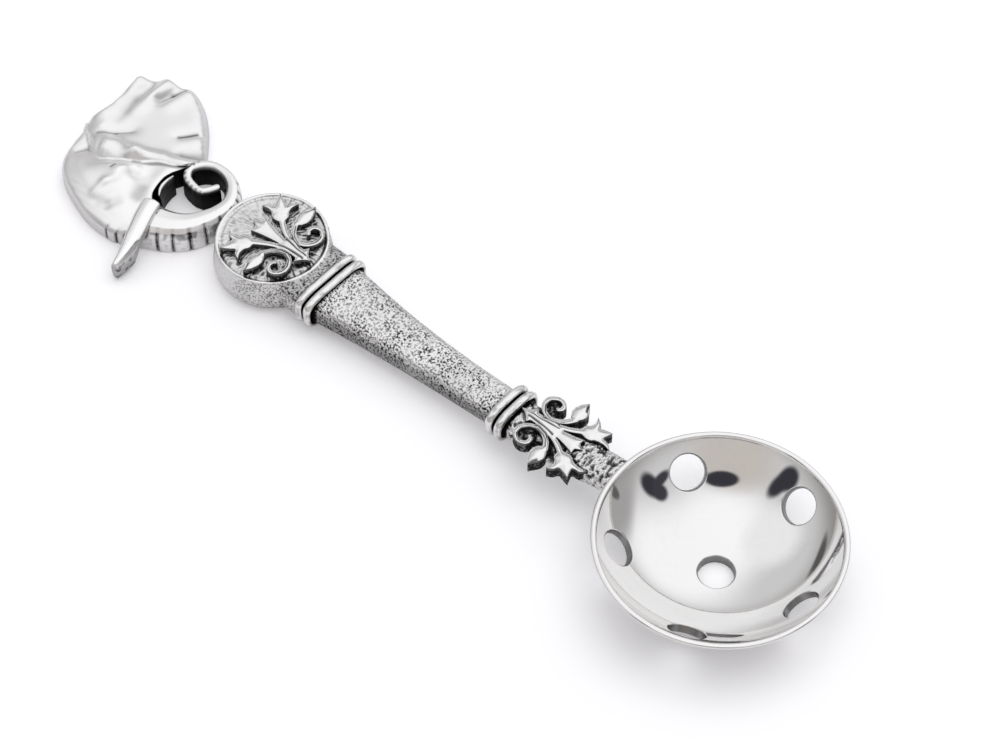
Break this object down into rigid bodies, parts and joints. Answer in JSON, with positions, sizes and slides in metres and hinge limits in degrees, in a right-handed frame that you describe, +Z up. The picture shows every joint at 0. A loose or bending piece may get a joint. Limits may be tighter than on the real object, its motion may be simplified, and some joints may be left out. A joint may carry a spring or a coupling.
{
  "type": "olive spoon",
  "caption": "Silver olive spoon: round pierced bowl on a tapered handle with ringed collars, lily scroll ornaments and an elephant's head with curled trunk at its end.",
  "frame": {"origin": "middle of the medallion's flat underside, on the surface that the spoon lies on", "axes": "+X along the handle towards the bowl, +Z up out of the bowl's mouth, +Y across the handle towards the elephant's ear"},
  "size_m": [0.1788, 0.044, 0.0129],
  "materials": {
    "polished_silver": "polished",
    "wire_silver": "polished, dark in the grooves",
    "ornament_silver": "bright top, blackened sides",
    "satin_silver": "satin, dark in the creases",
    "antiqued_silver": "pitted and antiqued",
    "dark_silver": "blackened"
  },
  "bodies": {
    "root": {"bowl": "polished_silver", "neck": "antiqued_silver", "neck_lily": "ornament_silver", "lower_collar_band": "dark_silver", "lower_collar_ring_rear": "wire_silver", "lower_collar_ring_front": "wire_silver", "shaft": "antiqued_silver", "upper_collar_band": "dark_silver", "upper_collar_ring_rear": "wire_silver", "upper_collar_ring_front": "wire_silver", "medallion": "antiqued_silver", "medallion_lily": "ornament_silver", "elephant_trunk": "satin_silver", "elephant_head": "satin_silver", "elephant_ear": "satin_silver", "elephant_tusk": "satin_silver", "elephant_lip": "satin_silver", "upper_dowel": "dark_silver", "lower_dowel": "dark_silver", "trunk_dowel": "dark_silver"}
  },
  "joints": []
}
